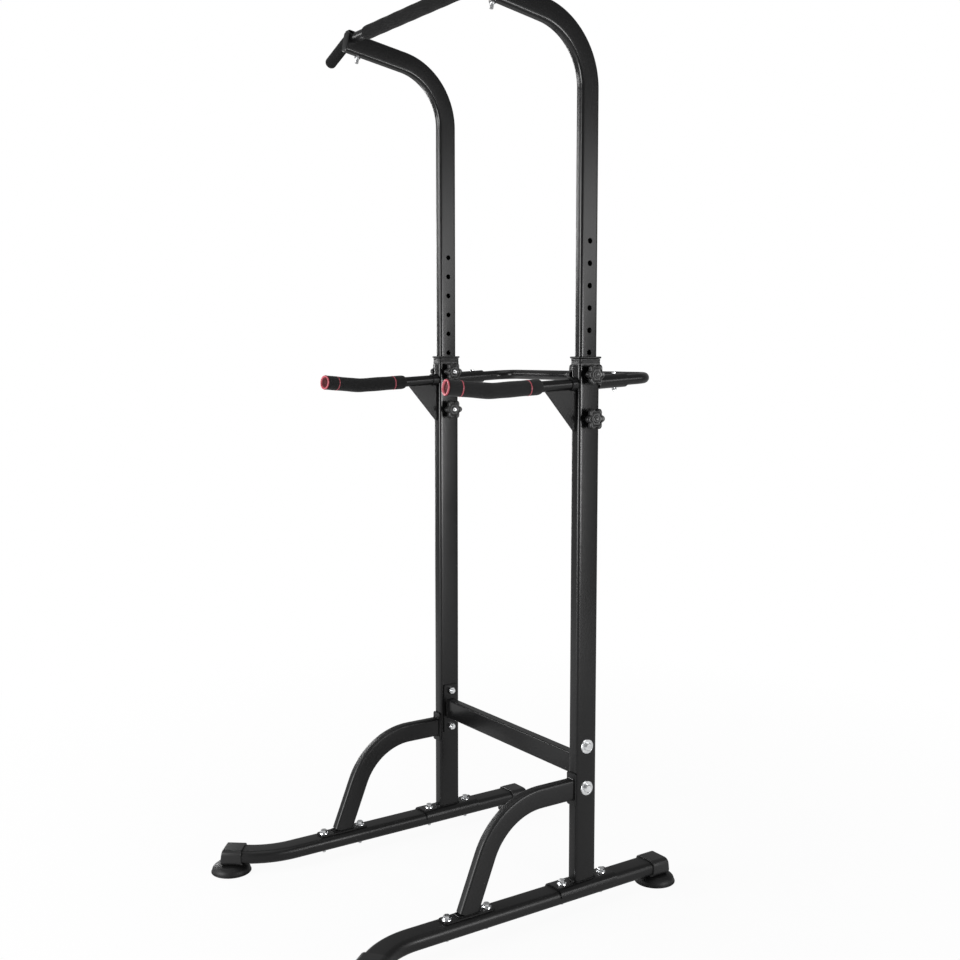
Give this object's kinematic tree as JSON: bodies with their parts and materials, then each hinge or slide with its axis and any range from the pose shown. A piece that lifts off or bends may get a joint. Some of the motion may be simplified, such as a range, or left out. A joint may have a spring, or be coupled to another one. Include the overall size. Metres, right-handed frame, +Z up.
{
  "type": "freestanding pull-up bar",
  "caption": "Freestanding steel pull-up and dip tower with a height-adjustable bar, padded dip handles, splayed feet and suction cups.",
  "frame": {"origin": "on the floor under the middle of the tower", "axes": "+Z up, +X to the right across the tower, the dip handles and the pull-up bar face -Y"},
  "size_m": [0.8416, 0.9448, 2.1002],
  "materials": {
    "powder_coat": "satin black powder coat",
    "foam": "matt closed-cell foam",
    "red_plastic": "dull red moulded plastic",
    "black_plastic": "fine-textured black moulding",
    "black_rubber": "smooth soft black rubber",
    "zinc": "bright zinc plate"
  },
  "bodies": {
    "tower": {"crossbar": "powder_coat", "crossbar_bolt_high_l": "zinc", "crossbar_bolt_high_r": "zinc", "crossbar_bolt_low_l": "zinc", "crossbar_bolt_low_r": "zinc", "curved_brace_l": "powder_coat", "curved_brace_r": "powder_coat", "dip_arm_l": "powder_coat", "dip_arm_r": "powder_coat", "dip_end_cap_l": "red_plastic", "dip_end_cap_r": "red_plastic", "dip_grip_l": "foam", "dip_grip_r": "foam", "foot_bolt_brace_front_l": "zinc", "foot_bolt_brace_front_r": "zinc", "foot_bolt_brace_rear_l": "zinc", "foot_bolt_brace_rear_r": "zinc", "foot_bolt_upright_front_l": "zinc", "foot_bolt_upright_front_r": "zinc", "foot_bolt_upright_rear_l": "zinc", "foot_bolt_upright_rear_r": "zinc", "foot_cap_front_l": "black_plastic", "foot_cap_front_r": "black_plastic", "foot_cap_rear_l": "black_plastic", "foot_cap_rear_r": "black_plastic", "foot_tube_l": "powder_coat", "foot_tube_r": "powder_coat", "lower_upright_l": "powder_coat", "lower_upright_r": "powder_coat", "rear_bar": "powder_coat", "rim_bush_l": "black_plastic", "rim_bush_r": "black_plastic", "socket_bolt_l": "zinc", "socket_bolt_r": "zinc", "suction_cup_front_l": "black_rubber", "suction_cup_front_r": "black_rubber", "suction_cup_rear_l": "black_rubber", "suction_cup_rear_r": "black_rubber"},
    "mast_frame": {"bar_clamp_l": "powder_coat", "bar_clamp_r": "powder_coat", "bar_grip": "foam", "end_grip_l": "foam", "end_grip_r": "foam", "mast_l": "powder_coat", "mast_r": "powder_coat", "pullup_bar": "powder_coat"},
    "bolt_high_l": {"lock_bolt_high_l": "zinc"},
    "knob_high_l": {"lock_knob_high_l": "black_plastic"},
    "nut_high_l": {"star_nut_high_l": "black_plastic"},
    "bolt_low_l": {"lock_bolt_low_l": "zinc"},
    "knob_low_l": {"lock_knob_low_l": "black_plastic"},
    "nut_low_l": {"star_nut_low_l": "black_plastic"},
    "bolt_high_r": {"lock_bolt_high_r": "zinc"},
    "knob_high_r": {"lock_knob_high_r": "black_plastic"},
    "nut_high_r": {"star_nut_high_r": "black_plastic"},
    "bolt_low_r": {"lock_bolt_low_r": "zinc"},
    "knob_low_r": {"lock_knob_low_r": "black_plastic"},
    "nut_low_r": {"star_nut_low_r": "black_plastic"}
  },
  "joints": [
    {"name": "mast_height", "type": "slide", "parent": "tower", "child": "mast_frame", "axis": [0, 0, 1], "range_m": [-0.3, 0]},
    {"name": "bolt_draw_high_l", "type": "slide", "parent": "tower", "child": "bolt_high_l", "axis": [-1, 0, 0], "range_m": [0, 0.07]},
    {"name": "knob_turn_high_l", "type": "hinge", "parent": "bolt_high_l", "child": "knob_high_l", "pos_m": [-0.293, 0.18838, 1.2555], "axis": [-1, 0, 0], "continuous": true},
    {"name": "nut_turn_high_l", "type": "hinge", "parent": "tower", "child": "nut_high_l", "pos_m": [-0.293, 0.18838, 1.2555], "axis": [1, 0, 0], "continuous": true},
    {"name": "bolt_draw_low_l", "type": "slide", "parent": "tower", "child": "bolt_low_l", "axis": [-1, 0, 0], "range_m": [0, 0.07]},
    {"name": "knob_turn_low_l", "type": "hinge", "parent": "bolt_low_l", "child": "knob_low_l", "pos_m": [-0.293, 0.18838, 1.1555], "axis": [-1, 0, 0], "continuous": true},
    {"name": "nut_turn_low_l", "type": "hinge", "parent": "tower", "child": "nut_low_l", "pos_m": [-0.293, 0.18838, 1.1555], "axis": [1, 0, 0], "continuous": true},
    {"name": "bolt_draw_high_r", "type": "slide", "parent": "tower", "child": "bolt_high_r", "axis": [1, 0, 0], "range_m": [0, 0.07]},
    {"name": "knob_turn_high_r", "type": "hinge", "parent": "bolt_high_r", "child": "knob_high_r", "pos_m": [0.293, 0.18838, 1.2555], "axis": [1, 0, 0], "continuous": true},
    {"name": "nut_turn_high_r", "type": "hinge", "parent": "tower", "child": "nut_high_r", "pos_m": [0.293, 0.18838, 1.2555], "axis": [-1, 0, 0], "continuous": true},
    {"name": "bolt_draw_low_r", "type": "slide", "parent": "tower", "child": "bolt_low_r", "axis": [1, 0, 0], "range_m": [0, 0.07]},
    {"name": "knob_turn_low_r", "type": "hinge", "parent": "bolt_low_r", "child": "knob_low_r", "pos_m": [0.293, 0.18838, 1.1555], "axis": [1, 0, 0], "continuous": true},
    {"name": "nut_turn_low_r", "type": "hinge", "parent": "tower", "child": "nut_low_r", "pos_m": [0.293, 0.18838, 1.1555], "axis": [-1, 0, 0], "continuous": true}
  ]
}
